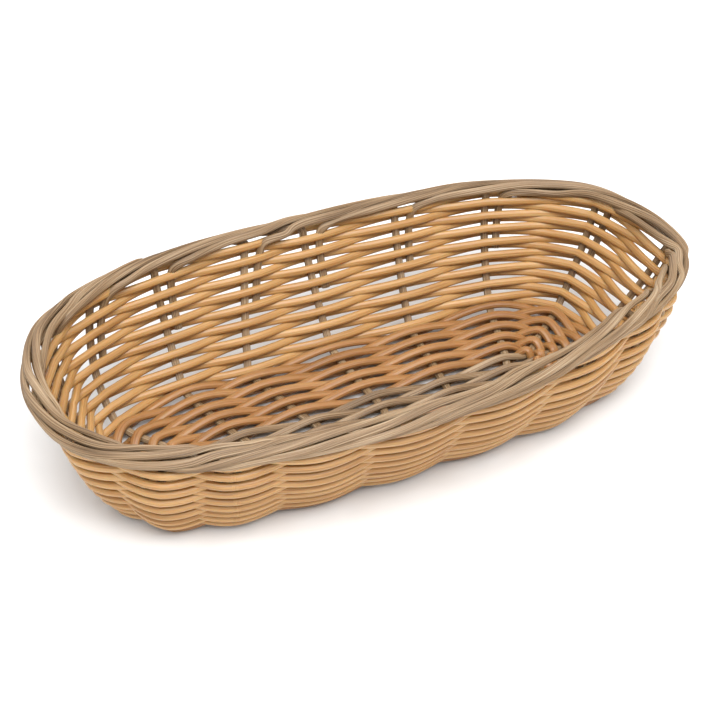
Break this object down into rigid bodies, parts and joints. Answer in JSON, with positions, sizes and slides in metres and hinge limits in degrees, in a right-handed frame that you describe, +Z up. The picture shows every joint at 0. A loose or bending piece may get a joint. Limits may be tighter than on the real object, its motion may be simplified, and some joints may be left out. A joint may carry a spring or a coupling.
{
  "type": "bread basket",
  "caption": "Oval woven bread basket with a flat base, leaning plain-woven walls and a rolled border of flat ribbed strands.",
  "frame": {"origin": "centre of the base on the surface that the basket rests on", "axes": "+X along the long axis, +Y across the basket, +Z up out of the mouth"},
  "size_m": [0.2308, 0.1188, 0.0506],
  "materials": {
    "stake": "satin, finely ribbed along the strand",
    "weaver": "semi-gloss, faint grain along the strand"
  },
  "bodies": {
    "root": {"cross_stake_1": "stake", "cross_stake_2": "stake", "cross_stake_3": "stake", "cross_stake_4": "stake", "cross_stake_5": "stake", "long_stake_1": "stake", "long_stake_2": "stake", "long_stake_3": "stake", "long_stake_4": "stake", "long_stake_5": "stake", "base_weaver_1": "weaver", "base_weaver_2": "weaver", "base_weaver_3": "weaver", "base_weaver_4": "weaver", "base_weaver_5": "weaver", "base_weaver_6": "weaver", "base_weaver_7": "weaver", "base_weaver_8": "weaver", "base_weaver_9": "weaver", "base_weaver_10": "weaver", "wall_weaver_1": "weaver", "wall_weaver_2": "weaver", "wall_weaver_3": "weaver", "wall_weaver_4": "weaver", "wall_weaver_5": "weaver", "wall_weaver_6": "weaver", "wall_weaver_7": "weaver", "wall_weaver_8": "weaver", "wall_weaver_9": "weaver", "wall_weaver_10": "weaver", "wall_weaver_11": "weaver", "wall_weaver_12": "weaver", "wall_weaver_13": "weaver", "wall_weaver_14": "weaver", "wall_weaver_15": "weaver", "wall_weaver_16": "weaver", "wall_weaver_17": "weaver"}
  },
  "joints": []
}
